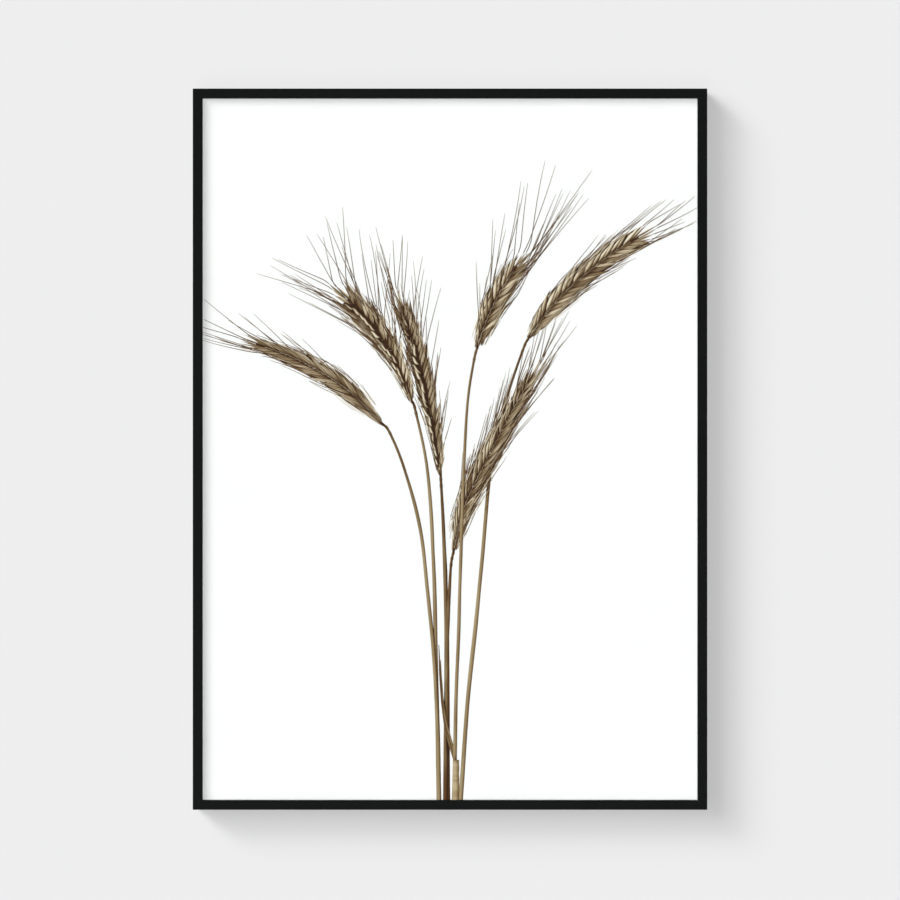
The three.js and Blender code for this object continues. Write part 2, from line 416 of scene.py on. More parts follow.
@dataclass(frozen=True)
class PaperStock:
    """The white art sheet, bare or under ink.

    Attributes:
        white: Linear colour of the bare sheet.
        shade: Linear colour in the mottle's darkest places.
        tooth: Height of the felt surface in metres.
    """

    white: Colour = (0.765, 0.765, 0.762)
    shade: Colour = (0.745, 0.745, 0.741)
    tooth: float = 0.00002

    def bare(self, effects: Effects) -> bpy.types.Material:
        """Makes the unprinted stock.

        Args:
            effects: The shared groups.

        Returns:
            The sheet's material.
        """
        made, board, place = start_material("art paper")
        tooth = effects.place(board, Effect.PAPER_TOOTH, Vector=place)
        colour = board.ramp(tooth.outputs["Mottle"], [(0.3, self.shade), (0.7, self.white)])
        self.surface(board, tooth, colour, (0.78, 0.92))
        return made

    def printed(self, effects: Effects) -> bpy.types.Material:
        """Makes the stock under pigment ink, whose colours are held by the mesh.

        Args:
            effects: The shared groups.

        Returns:
            The ink's material.
        """
        made, board, place = start_material("pigment ink on art paper")
        tooth = effects.place(board, Effect.PAPER_TOOTH, Vector=place)
        ink = board.add("ShaderNodeVertexColor", layer_name=INK).outputs["Color"]
        lay = board.spread(tooth.outputs["Height"], 0.93, 1.08)
        grain = board.add("ShaderNodeVectorMath", {0: ink, 1: lay}, operation="MULTIPLY")
        self.surface(board, tooth, grain.outputs[0], (0.6, 0.75))
        return made

    def surface(self, board: Board, tooth: bpy.types.Node, colour: bpy.types.NodeSocket,
                rough: tuple[float, float]) -> None:
        """Ends a paper material.

        Args:
            board: The material's board.
            tooth: The placed paper group.
            colour: The colour's socket.
            rough: Roughness on the felt's high and low places.
        """
        bump = board.add("ShaderNodeBump", {"Height": tooth.outputs["Height"], "Distance": self.tooth,
                                            "Strength": 0.5})
        shader = board.add("ShaderNodeBsdfPrincipled", {
            "Base Color": colour,
            "Roughness": board.spread(tooth.outputs["Height"], *rough),
            "Specular IOR Level": 0.25,
            "Normal": bump.outputs[0],
        })
        board.add("ShaderNodeOutputMaterial", {"Surface": shader.outputs[0]})


@dataclass(frozen=True)
class Hardboard:
    """Pressed fibre board, smooth on its back face.

    Attributes:
        fibre_scale: Fibres to a metre.
        colours: Linear colours of the dark, middle and pale fibres.
    """

    fibre_scale: float = 420.0
    colours: tuple[Colour, Colour, Colour] = ((0.13, 0.068, 0.03), (0.27, 0.155, 0.075), (0.42, 0.27, 0.145))

    def material(self, effects: Effects) -> bpy.types.Material:
        """Makes the material.

        Args:
            effects: The shared groups.

        Returns:
            The board's material.
        """
        made, board, place = start_material("pressed fibre board")
        laid = board.add("ShaderNodeMapping", {"Vector": place, "Scale": (1.0, 1.0, 0.35),
                                               "Rotation": (0.0, 0.5, 0.0)})
        crossed = board.add("ShaderNodeMapping", {"Vector": place, "Scale": (0.35, 1.0, 1.0),
                                                  "Rotation": (0.0, 0.3, 0.0)})
        layers = [
            board.add("ShaderNodeTexNoise", {"Vector": way.outputs[0], "Scale": self.fibre_scale * finer,
                                             "Detail": 6.0, "Roughness": 0.7, "Distortion": 0.8})
            for way, finer in ((laid, 1.0), (crossed, 1.6))
        ]
        fibres = board.add("ShaderNodeMath", {0: layers[0].outputs["Fac"], 1: layers[1].outputs["Fac"]},
                           operation="MULTIPLY")
        seen = board.add("ShaderNodeMapRange", {0: fibres.outputs[0], 1: 0.12, 2: 0.4}).outputs[0]
        colour = board.ramp(seen, list(zip((0.0, 0.45, 1.0), self.colours, strict=True)))
        marks = effects.place(board, Effect.HANDLING, Vector=place, Scale=6.0)
        aged = board.add("ShaderNodeMix", {0: board.spread(marks.outputs["Smudge"], 0.0, 0.35), 6: colour,
                                           7: (*self.colours[0], 1.0)}, data_type="RGBA")
        bump = board.add("ShaderNodeBump", {"Height": seen, "Distance": 0.00012, "Strength": 0.5})
        shader = board.add("ShaderNodeBsdfPrincipled", {
            "Base Color": aged.outputs[2],
            "Roughness": board.spread(seen, 0.62, 0.85),
            "Normal": bump.outputs[0],
        })
        board.add("ShaderNodeOutputMaterial", {"Surface": shader.outputs[0]})
        return made


@dataclass(frozen=True)
class PadRubber:
    """Soft black rubber with a faint bloom.

    Attributes:
        black: Linear colour of the rubber.
        bloom: Linear colour where dust and bloom lie.
    """

    black: Colour = (0.012, 0.012, 0.012)
    bloom: Colour = (0.04, 0.04, 0.039)

    def material(self, effects: Effects) -> bpy.types.Material:
        """Makes the material.

        Args:
            effects: The shared groups.

        Returns:
            The pads' material.
        """
        made, board, place = start_material("pad rubber")
        marks = effects.place(board, Effect.HANDLING, Vector=place, Scale=160.0)
        colour = board.ramp(marks.outputs["Smudge"], [(0.2, self.black), (1.0, self.bloom)])
        bump = board.add("ShaderNodeBump", {"Height": marks.outputs["Speck"], "Distance": 0.00005})
        shader = board.add("ShaderNodeBsdfPrincipled", {
            "Base Color": colour,
            "Roughness": board.spread(marks.outputs["Smudge"], 0.6, 0.85),
            "Normal": bump.outputs[0],
        })
        board.add("ShaderNodeOutputMaterial", {"Surface": shader.outputs[0]})
        return made


# ---------------------------------------------------------------------------------------------------------
# The frame's own parts
# ---------------------------------------------------------------------------------------------------------


@dataclass
class FrameParts:
    """Dresses the carried-over parts of the frame.

    Attributes:
        effects: The shared shader groups.
        paper: The sheet's stock.
        edge: Width of the broken edge on cut and pressed metal, in metres.
        panel_edge: Width of the broken edge on the glass and the board, in metres.
        dressed: Names of the parts that have their finish.
    """

    effects: Effects
    paper: PaperStock
    edge: float = 0.00012
    panel_edge: float = 0.0003
    dressed: list[str] = field(default_factory=list)

    def dress(self, node: str, material: bpy.types.Material) -> bpy.types.Object:
        """Gives a part its material.

        Args:
            node: The part's name.
            material: Its finish.

        Returns:
            The part's object.
        """
        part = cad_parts[node]
        part.data.materials.clear()
        part.data.materials.append(material)
        self.dressed.append(node)
        return part

    def break_edges(self, part: bpy.types.Object, width: float) -> None:
        """Rounds a part's sharp edges so that they catch the light.

        Args:
            part: The part's object.
            width: Width of the rounding in metres.
        """
        weld = part.modifiers.new("weld", "WELD")
        weld.merge_threshold = 1e-6
        bevel = part.modifiers.new("broken edge", "BEVEL")
        bevel.width = width
        bevel.segments = 2
        bevel.limit_method = "ANGLE"
        bevel.angle_limit = math.radians(50)

    def rails(self) -> None:
        """Dresses the four rails in matt black, with drawn lines along each."""
        finishes = {
            run: MetalFinish(f"matt black anodised {run.name.lower()}", dark=(0.0033, 0.0036, 0.0036),
                             light=(0.0043, 0.0047, 0.0047), metallic=0.0, smooth=0.44, rough=0.54,
                             line_depth=0.000012, run=run, specular=0.15).material(self.effects)
            for run in Run
        }
        runs = {"rail_top": Run.ALONG_X, "rail_bottom": Run.ALONG_X,
                "rail_left": Run.ALONG_Z, "rail_right": Run.ALONG_Z}
        for node, run in runs.items():
            self.break_edges(self.dress(node, finishes[run]), self.edge)

    def hardware(self) -> None:
        """Dresses the keys, screws, springs, hangers and pads."""
        zinc = MetalFinish("bright zinc", (0.36, 0.36, 0.37), (0.62, 0.63, 0.65), 1.0, 0.24, 0.42, 0.00002)
        sheet_zinc = MetalFinish("zinc plated sheet", (0.34, 0.34, 0.34), (0.58, 0.59, 0.6), 1.0, 0.28, 0.5,
                                 0.00002)
        strip = MetalFinish("rolled spring strip", (0.3, 0.3, 0.31), (0.52, 0.53, 0.55), 1.0, 0.3, 0.46,
                            0.00002, coat=0.2)
        cast = MetalFinish("die cast alloy", (0.3, 0.3, 0.31), (0.5, 0.5, 0.51), 1.0, 0.45, 0.62, 0.00003)
        finishes = {
            "key_screw": zinc.material(self.effects),
            "hanger_screw": zinc.material(self.effects),
            "hanger": sheet_zinc.material(self.effects),
            "spring_clip": strip.material(self.effects),
            "corner_key": cast.material(self.effects),
            "wall_pad": PadRubber().material(self.effects),
        }
        for node in sorted(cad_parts):
            kind = next((k for k in finishes if node.startswith(k)), None)
            if kind is not None:
                part = self.dress(node, finishes[kind])
                if kind in ("hanger", "corner_key", "spring_clip"):
                    self.break_edges(part, self.edge)

    def panels(self) -> None:
        """Dresses the glass, the sheet and the board."""
        self.break_edges(self.dress("glazing", PictureGlass().material(self.effects)), self.panel_edge)
        self.dress("print_sheet", self.paper.bare(self.effects))
        board = self.dress("backing_board", Hardboard().material(self.effects))
        self.break_edges(board, self.panel_edge)


# ---------------------------------------------------------------------------------------------------------
# The picture, in millimetres on the sheet: x to the right, y up, z towards the glass
# ---------------------------------------------------------------------------------------------------------


class Track:
    """A smooth line through a few points."""

    def __init__(self, points: tuple[SheetPoint, ...], steps: int = 24) -> None:
        """Runs a Catmull-Rom curve through the points.

        Args:
            points: The points in order.
            steps: Samples between two points.
        """
        p = np.array(points, float)
        p = np.vstack([2 * p[0] - p[1], p, 2 * p[-1] - p[-2]])
        t = np.linspace(0, 1, steps, endpoint=False)[:, None]
        spans = []
        for a, b, c, d in zip(p[:-3], p[1:-2], p[2:-1], p[3:], strict=True):
            spans.append(0.5 * (2 * b + (c - a) * t + (2 * a - 5 * b + 4 * c - d) * t**2
                                + (3 * b - a - 3 * c + d) * t**3))
        self.points = np.vstack([*spans, p[-2][None]])
        gaps = np.linalg.norm(np.diff(self.points, axis=0), axis=1)
        self.far = np.concatenate([[0.0], np.cumsum(gaps)])
        self.length = float(self.far[-1])

    def at(self, t: Array | float) -> Array:
        """Points at shares of the length from 0 to 1."""
        s = np.asarray(t, float) * self.length
        return np.stack([np.interp(s, self.far, self.points[:, k]) for k in (0, 1)], -1)

    def along(self, t: Array | float) -> Array:
        """Finds the line's direction.

        Args:
            t: Shares of the length from 0 to 1.

        Returns:
            Unit directions.
        """
        step = 0.01
        t = np.asarray(t, float)
        return unit(self.at(np.minimum(t + step, 1)) - self.at(np.maximum(t - step, 0)))


def turned(direction: Array, degrees: Array | float) -> Array:
    """Turns a direction on the sheet to the left.

    Args:
        direction: One direction or a row of them.
        degrees: How far, the same for all or one for each.

    Returns:
        The turned directions.
    """
    a = np.radians(degrees)
    x, y = direction[..., 0], direction[..., 1]
    return np.stack([x * np.cos(a) - y * np.sin(a), x * np.sin(a) + y * np.cos(a)], -1)


class Pigment:
    """Screen colours of the straw before the picture's own light, and the four tones that the ink settles
    on. The gap colour is painted shade, and the pale and dark husk colours also carry painted highlight and
    painted shade.
    """

    HUSK = screen_rgb(164, 138, 101)
    HUSK_PALE = screen_rgb(236, 218, 182)
    HUSK_DARK = screen_rgb(98, 71, 43)
    # Painted shade: colour of the unlit dark sheets laid under the husks, where the shade between them falls
    GAP_SHADE = screen_rgb(50, 34, 20)
    STEM = screen_rgb(176, 148, 84)
    STEM_DARK = screen_rgb(138, 98, 48)
    AWN = screen_rgb(72, 54, 38)
    AWN_TIP = screen_rgb(118, 102, 84)
    HAIR = screen_rgb(190, 172, 136)
    SHADE = screen_rgb(30, 12, 4)
    UMBER = screen_rgb(84, 50, 18)
    STRAW = screen_rgb(142, 124, 94)
    CREAM = screen_rgb(230, 218, 194)
    OWN = 0.25  # share of a surface's own colour that is left beside the tones

    @classmethod
    def toned(cls, ink: Array, level: float) -> Array:
        """Pulls colours towards the straw's tones, from red-brown shade to cream, at the same brightness.

        Args:
            ink: Linear colours.
            level: Brightness of white paper in the studio's light.

        Returns:
            Linear colours with the same means.
        """
        tones = np.array([cls.SHADE, cls.UMBER, cls.STRAW, cls.CREAM]) / level
        light = ink.mean(1)
        pulled = np.stack([np.interp(light, tones.mean(1), tones[:, k]) for k in range(3)], -1)
        return cls.OWN * ink + (1 - cls.OWN) * pulled


@dataclass
class Patch:
    """A grid of points with a colour for each.

    Attributes:
        points: Rows by columns by 3, in mm.
        colour: Rows by columns by 3, linear.
        lit: Whether the surface takes light and shade.
    """

    points: Array
    colour: Array
    lit: bool = True


@dataclass
class Relief:
    """The patches of one printed piece.

    Attributes:
        name: The piece's name.
        patches: Its grids, in no order.
    """

    name: str
    patches: list[Patch] = field(default_factory=list)

    def add(self, points: Array, colour: Array, lit: bool = True) -> None:
        """Adds a grid."""
        self.patches.append(Patch(points, colour, lit))

    def gathered(self) -> tuple[Array, Array, Array, Array, Array]:
        """Joins the patches.

        Returns:
            Points, normals, colours, a mask of lit points and faces of four.
        """
        points, normals, colours, lit, faces = [], [], [], [], []
        start = 0
        for patch in self.patches:
            grid = patch.points
            rows, cols = grid.shape[:2]
            cross = np.cross(np.gradient(grid, axis=1), np.gradient(grid, axis=0))
            cross *= np.sign(cross[..., 2:3].mean() or 1.0)
            points.append(grid.reshape(-1, 3))
            normals.append(unit(cross).reshape(-1, 3))
            colours.append(patch.colour.reshape(-1, 3))
            lit.append(np.full(rows * cols, patch.lit))
            k = np.arange(rows * cols).reshape(rows, cols) + start
            faces.append(np.stack([k[:-1, :-1], k[:-1, 1:], k[1:, 1:], k[1:, :-1]], -1).reshape(-1, 4))
            start += rows * cols
        return tuple(np.concatenate(part) for part in (points, normals, colours, lit, faces))


@dataclass(frozen=True)
class HuskShape:
    """A husk: a slim pointed shell with a keel.

    Attributes:
        length: From its foot to its point, in mm.
        width: Across its widest place, in mm.
        swell: Height of its crown, in mm.
        lift: How far its point stands proud of its foot, in mm.
        curl: Sideways bend towards the ear's point, in mm.
        point: How slender it grows towards its point, where 0.6 is blunt.
        rows: Points along it.
        columns: Points across it.
    """

    length: float
    width: float
    swell: float
    lift: float
    curl: float
    point: float = 1.25
    rows: int = 15
    columns: int = 9

    def grid(self, foot: Array, heading: Array, side: float, depth: float,
             size: tuple[float, float]) -> tuple[Array, Array, Array]:
        """Lays the husk on the sheet.

        Args:
            foot: Its foot on the sheet.
            heading: Its unit direction.
            side: 1 on the left of the ear, -1 on the right.
            depth: Height of its foot above the sheet.
            size: Scale along it and across it.

        Returns:
            The grid, and for each point its share along and its place across from -1 to 1.
        """
        u = np.linspace(0, 1, self.rows)[:, None]
        v = np.linspace(-1, 1, self.columns)[None, :]
        along, over = size
        widest = 0.6 / (0.6 + self.point)
        fullness = (u / widest) ** 0.6 * ((1 - u) / (1 - widest)) ** self.point + 0.03
        across = turned(heading, 90.0)
        bend = -side * self.curl * along * u**2
        off = (v * fullness * self.width / 2 * over + bend)[..., None]
        plan = foot + heading * (u * self.length * along)[..., None] + across * off
        rounded = np.sqrt(np.maximum(1 - v**2, 0)) + 0.35 * (1 - np.abs(v)) ** 3
        crown = fullness * self.swell * over * rounded
        height = depth + self.lift * along * u + crown
        grid = np.concatenate([plan, height[..., None]], -1)
        return grid, np.broadcast_to(u, height.shape), np.broadcast_to(v, height.shape)


@dataclass(frozen=True)
class HuskRow:
    """One of the husks that every spikelet has.

    Attributes:
        offset: Of its foot from the spine, as a share of the ear's half width.
        opening: Degrees that it turns away from the spine.
        length: Scale of its length.
        width: Scale of its width.
        depth: Of its foot in front of the ear's middle, in mm.
        tone: Brightness.
        awned: Chance that it bears an awn.
    """

    offset: float
    opening: float
    length: float
    width: float
    depth: float
    tone: float
    awned: float


class View(Enum):
    """The side of the ear that the picture shows."""

    FACE = "face"  # both rows lie flat, like a plait
    EDGE = "edge"  # the left row is closed and the right row stands open, with deep gaps between them


class Side(Enum):
    """The rows of an ear."""

    LEFT = 1.0
    RIGHT = -1.0


# The husks of a spikelet, from back to front: offset, opening, length, width, depth, tone, awned
PLAIT = (
    HuskRow(0.42, 13.0, 0.86, 0.90, -2.6, 0.82, 0.6),
    HuskRow(0.25, 17.0, 0.95, 1.00, -1.0, 0.94, 0.5),
    HuskRow(0.05, 21.0, 0.96, 1.12, 0.7, 1.08, 0.12),
)
ROWS = {
    (View.FACE, Side.LEFT): PLAIT,
    (View.FACE, Side.RIGHT): PLAIT,
    (View.EDGE, Side.LEFT): (
        HuskRow(0.52, 7.0, 1.30, 0.60, -2.4, 0.94, 0.5),
        HuskRow(0.38, 10.0, 1.25, 0.64, -0.8, 0.86, 0.35),
        HuskRow(0.22, 15.0, 1.05, 0.72, 0.5, 0.76, 0.1),
    ),
    (View.EDGE, Side.RIGHT): (
        HuskRow(0.34, 17.0, 1.15, 0.74, -2.6, 0.94, 0.5),
        HuskRow(0.14, 22.0, 1.16, 0.80, -1.0, 1.22, 0.4),
        HuskRow(-0.04, 27.0, 0.94, 0.82, 0.6, 0.96, 0.12),
    ),
}
TIP_TURNS = (-15.0, 12.0, -8.0, 6.0, -3.0, 1.0)  # degrees between the spine and the husks that end an ear
COLLAR_TURNS = (16.0, -16.0, 8.0, -7.0, 1.0)  # the same for the scales that close its foot


@dataclass(frozen=True)
class EarPlan:
    """One ear.

    Attributes:
        name: Its piece's name.
        spine: Points from its foot to its point.
        view: The side that shows.
        spread: Across both rows at the widest place, in mm.
        husk: The shape of a husk.
        pitch: Between two husks on one side, in mm.
        awn: Length of the longest awns, in mm.
        left_awns: Degrees from the sheet's right that the left row's awns end up at, from and to.
        right_awns: The same for the right row.
        height: Of the ear's middle above the sheet, in mm of full relief.
        seed: Starts this ear's own random draws.
        tone: Brightness of its straw.
        hairs: Number of fine hairs along its sides.
        bloom: Share of its length at which it reaches its full width.
        taper: Share of its width that it loses towards its point.
        splay: How much wider than usual its husks open.
        bristles: How much more than usual its husks bear awns.
        ruffle: How much more than usual its husks stray from an even plait.
    """

    name: str
    spine: tuple[SheetPoint, ...]
    view: View
    spread: float
    husk: HuskShape
    pitch: float
    awn: float
    left_awns: tuple[float, float]
    right_awns: tuple[float, float]
    height: float
    seed: int
    tone: float
    hairs: int
    bloom: float
    taper: float
    splay: float
    bristles: float = 1.0
    ruffle: float = 1.0


class Ear:
    """Builds an ear from its plan.

    Attributes:
        plan: The plan.
        track: Its spine.
        rng: Its own random draws.
        relief: What has been built so far.
    """

    CURL_EVERY = 6.4  # mm of spine
    CURL = HuskShape(length=12.5, width=4.2, swell=1.9, lift=0.6, curl=-1.6, point=0.8, rows=13, columns=9)

    def __init__(self, plan: EarPlan) -> None:
        """Keeps the plan and starts the random draws.

        Args:
            plan: The ear's plan.
        """
        self.plan = plan
        self.track = Track(plan.spine)
        self.rng = np.random.default_rng(plan.seed)
        self.relief = Relief(plan.name)

    def build(self) -> Relief:
        """Grows the husks from the foot to the point and gives each its awn.

        Returns:
            The finished relief.
        """
        plan = self.plan
        reach = 1.0 - plan.husk.length * 0.7 / self.track.length
        count = max(int(self.track.length * reach / plan.pitch), 4)
        self.core(min(reach + 0.06, 1.0))
        for i in range(count):
            slip = self.rng.uniform(-0.18, 0.18, 2)
            self.spikelet(max(i + slip[0], 0.0) / count * reach, Side.LEFT)
            self.spikelet((i + 0.5 + slip[1]) / count * reach, Side.RIGHT)
        for k, turn in enumerate(TIP_TURNS):
            side = Side.LEFT if turn > 0 else Side.RIGHT
            row = HuskRow(0.1, abs(turn), 0.95, 0.62, 0.9 + 0.3 * k, 0.9, 1.0)
            self.husk(reach + 0.01 * k, side, row, k == len(TIP_TURNS) - 1)
        for k, turn in enumerate(COLLAR_TURNS):
            side = Side.LEFT if turn > 0 else Side.RIGHT
            row = HuskRow(0.1, abs(turn), 0.62, 0.95, 2.4 + 0.3 * k, 0.6, 0.0)
            self.husk(0.004 * k, side, row, False)
        if plan.view is View.FACE:
            self.seam(reach)
        else:
            curls = int(self.track.length * reach / self.CURL_EVERY)
            for i in range(1, curls):
                self.curl((i + 0.3) / curls * reach)
        self.fringe(reach)
        return self.relief

    def fullness(self, t: float) -> float:
        """Width of the ear at a share of its length, from 0 to 1."""
        foot = 0.3 + 0.7 * math.sin(math.pi / 2 * min(t / self.plan.bloom, 1.0)) ** 0.9
        return foot * (1.0 - self.plan.taper * max((t - 0.4) / 0.6, 0.0) ** 1.3)

    def core(self, reach: float) -> None:
        """Adds the shaded middle of the ear, which shows in the gaps between the husks.

        Args:
            reach: Share of the ear's length that bears husks.
        """
        rows, columns = int(self.track.length / 0.5), 23
        t = np.linspace(0.03, reach, rows)
        full = np.array([self.fullness(s) for s in t])
        half = 0.34 * self.plan.spread * full * np.sin(np.linspace(0.25, math.pi * 0.88, rows))
        v = np.linspace(-1, 1, columns)
        grid = np.zeros((rows, columns, 3))
        away = turned(self.track.along(t), 90.0)
        grid[..., :2] = self.track.at(t)[:, None] + away[:, None] * (half[:, None] * v)[..., None]
        grid[..., 2] = self.plan.height - 2.2
        # Painted shade: the core is an unlit dark sheet that stands for the shade deep between the husks
        self.relief.add(grid, np.broadcast_to(Pigment.GAP_SHADE, grid.shape).copy(), lit=False)

    def spikelet(self, t: float, side: Side) -> None:
        """Adds the husks of one spikelet.

        Args:
            t: Its share of the ear's length.
            side: The row that it is in.
        """
        for k, row in enumerate(ROWS[self.plan.view, side]):
            self.husk(t, side, row, k == 2)

    def husk(self, t: float, side: Side, row: HuskRow, front: bool) -> None:
        """Adds a husk, and the awn that it may bear.

        Args:
            t: Its share of the ear's length.
            side: The row that it is in.
            row: Its place in the spikelet.
            front: Whether its awn passes in front of the ear.
        """
        plan, rng = self.plan, self.rng
        full = self.fullness(t)
        left = turned(self.track.along(t), 90.0)
        ahead = self.track.along(min(t + 0.45 * plan.husk.length / self.track.length, 1.0))
        turn = side.value * row.opening * plan.splay * (0.5 + 0.5 * full) + rng.normal(0, 2.4) * plan.ruffle
        foot = self.track.at(t) + left * side.value * row.offset * plan.spread / 2 * full
        foot = foot + ahead * rng.normal(0, 0.5) * plan.ruffle
        course = turned(ahead, turn)
        rise = plan.height + row.depth * full + rng.uniform(-0.15, 0.15)
        size = (row.length * (0.55 + 0.45 * full) * rng.uniform(0.86, 1.12),
                row.width * (0.2 + 0.8 * full) * rng.uniform(0.88, 1.12))
        grid, u, v = plan.husk.grid(foot, course, side.value, rise, size)
        self.relief.add(grid, self.straw(u, v * side.value, row.tone))
        if rng.random() < row.awned * (0.4 + 0.6 * min(t * 2.0, 1.0)) * plan.bristles:
            self.awn(grid[-1].mean(0), course, side, t, front)

    def straw(self, u: Array, out: Array, tone: float) -> Array:
        """Colours a husk: fine veins, a pale outer rim that is painted highlight, painted shade on the inner
        rim and towards the foot, and a brown point.

        Args:
            u: Share along the husk.
            out: Place across it, 1 at the rim away from the spine.
            tone: Brightness.

        Returns:
            Linear colours.
        """
        rng = self.rng
        veins = 0.5 + 0.5 * np.cos(out * math.pi * 3.0 + rng.uniform(-0.6, 0.6))
        # Painted highlight on the rim away from the spine, and painted shade on the rim next to the spine
        rim = np.clip((out - 0.25) / 0.55, 0, 1)
        inner = np.clip((-out - 0.3) / 0.6, 0, 1)
        pale = np.clip(0.15 * veins + 0.85 * rim * (1 - u * 0.5) + rng.normal(0.04, 0.1), 0, 1)[..., None]
        point = np.clip((u - 0.62) / 0.38, 0, 1) * 0.45
        # Painted shade towards the husk's foot, where the husk below covers it
        foot = np.clip((0.35 - u) / 0.35, 0, 1) * 0.5
        dark = np.clip(point + foot + 0.7 * inner + rng.normal(0.04, 0.1), 0, 0.95)[..., None]
        colour = Pigment.HUSK * (1 - pale) + Pigment.HUSK_PALE * pale
        colour = colour * (1 - dark) + Pigment.HUSK_DARK * dark
        return colour * self.plan.tone * tone * rng.uniform(0.74, 1.22)

    def seam(self, reach: float) -> None:
        """Adds the thin pale line that the two rows meet along.

        Args:
            reach: Share of the ear's length that bears husks.
        """
        rows = 90
        t = np.linspace(0.02, reach, rows)
        centre, heading = self.track.at(t), self.track.along(t)
        step = t * self.track.length / self.plan.pitch
        zigzag = 0.35 * (np.abs((step % 1.0) * 2 - 1) * 2 - 1)
        v = np.linspace(-1, 1, 3)
        half = 0.22 * (0.75 + 0.25 * np.cos(step * 2 * math.pi))
        grid = np.zeros((rows, 3, 3))
        off = zigzag[:, None] + half[:, None] * v
        grid[..., :2] = centre[:, None] + turned(heading, 90.0)[:, None] * off[..., None]
        full = np.array([self.fullness(s) for s in t])
        grid[..., 2] = (self.plan.height + 1.9 + 2.4 * full)[:, None] + 0.2 * (1 - np.abs(v))
        worn = np.interp(t, np.linspace(0, 1, 30), self.rng.uniform(0.3, 1.0, 30))[:, None, None]
        self.relief.add(grid, np.broadcast_to(Pigment.HUSK_PALE * worn * 0.6, grid.shape).copy(), lit=False)

    def curl(self, t: float) -> None:
        """Adds a rolled husk edge with a painted highlight along its crest, on an ear that is seen edge-on,
        over an unlit dark sheet of painted shade in the gap beside it.

        Args:
            t: Its share of the ear's length.
        """
        plan, rng = self.plan, self.rng
        full = self.fullness(t)
        at, heading = self.track.at(t), self.track.along(t)
        left = turned(heading, 90.0)
        place = at + left * (plan.spread * 0.07 * full + rng.normal(0, 0.5)) + heading * rng.normal(0, 0.8)
        course = turned(heading, 20.0 + 10.0 * t + rng.normal(0, 8))
        height = plan.height + 3.6 * full
        size = (rng.uniform(0.85, 1.2) * (0.4 + 0.6 * full), rng.uniform(0.7, 1.05) * (0.4 + 0.6 * full))
        # Painted shade: an unlit dark sheet under the roll, where the gap beside it is in shade
        gap, _, _ = self.CURL.grid(place - left * 1.3 * full, course, -1.0, height - 1.0,
                                   (size[0], size[1]))
        self.relief.add(gap, np.broadcast_to(Pigment.GAP_SHADE * 0.7, gap.shape).copy(), lit=False)
        roll, u, v = self.CURL.grid(place, course, -1.0, height, size)
        roll[..., :2] += turned(course, 90.0) * (0.7 * full * np.sin(2 * math.pi * u))[..., None]
        # Painted highlight along the roll's crest
        crest = np.exp(-(((v - 0.1) * 2.2) ** 2)) * np.sin(math.pi * u**0.8)
        shine = (0.16 + 0.74 * crest)[..., None] * rng.uniform(0.55, 1.15)
        self.relief.add(roll, Pigment.HUSK_PALE * shine * plan.tone)

    def awn(self, start: Array, course: Array, side: Side, t: float, front: bool) -> None:
        """Draws the bristle that goes on from a husk's point.

        Args:
            start: The husk's point.
            course: The husk's direction.
            side: Its row.
            t: The husk's share of the ear's length.
            front: Whether it passes in front of the ear.
        """
        plan, rng = self.plan, self.rng
        length = plan.awn * (0.55 + 0.45 * min(t * 1.4, 1.0)) * rng.uniform(0.62, 1.12)
        low, high = plan.left_awns if side is Side.LEFT else plan.right_awns
        axis = math.degrees(math.atan2(*self.track.along(1.0)[::-1]))
        here = math.degrees(math.atan2(*self.track.along(t)[::-1]))
        goal = math.radians(rng.uniform(low, high) + rng.normal(0, 3.0) + (here - axis) * 0.55)
        goal_way = np.array([math.cos(goal), math.sin(goal)])
        u = np.linspace(0, 1, 16)
        blend = np.clip(u * 5 + 0.25, 0, 1)[:, None]
        headings = turned(unit(course * (1 - blend) + goal_way * blend), rng.normal(0, 4.0) * u**2)
        root = Pigment.AWN * rng.uniform(0.55, 1.5)
        self.strand(start, headings, length, 0.2, 1.6 if front else -1.0, (root, Pigment.AWN_TIP))

    def fringe(self, reach: float) -> None:
        """Adds the fine hairs that lie along both sides of the ear.

        Args:
            reach: Share of the ear's length that bears husks.
        """
        plan, rng = self.plan, self.rng
        for _ in range(plan.hairs):
            t = rng.uniform(0.02, reach)
            side = rng.choice((-1.0, 1.0))
            full = self.fullness(t)
            ahead = self.track.along(min(t + 0.12, 1.0))
            out = side * plan.spread / 2 * full * rng.uniform(0.35, 0.95)
            spot = self.track.at(t) + turned(self.track.along(t), 90.0) * out
            front = rng.random() < 0.6
            start = np.array([*spot, plan.height + (3.2 * full if front else -3.0)])
            u = np.linspace(0, 1, 10)
            way = np.broadcast_to(turned(ahead, side * rng.uniform(2, 12)), (len(u), 2))
            headings = turned(way, -side * rng.uniform(0, 9) * u)
            root = Pigment.HAIR if rng.random() < 0.5 else Pigment.AWN
            length = rng.uniform(14, 34)
            self.strand(start, headings, length, 0.14, 0.5, (root * rng.uniform(0.7, 1.2), root))

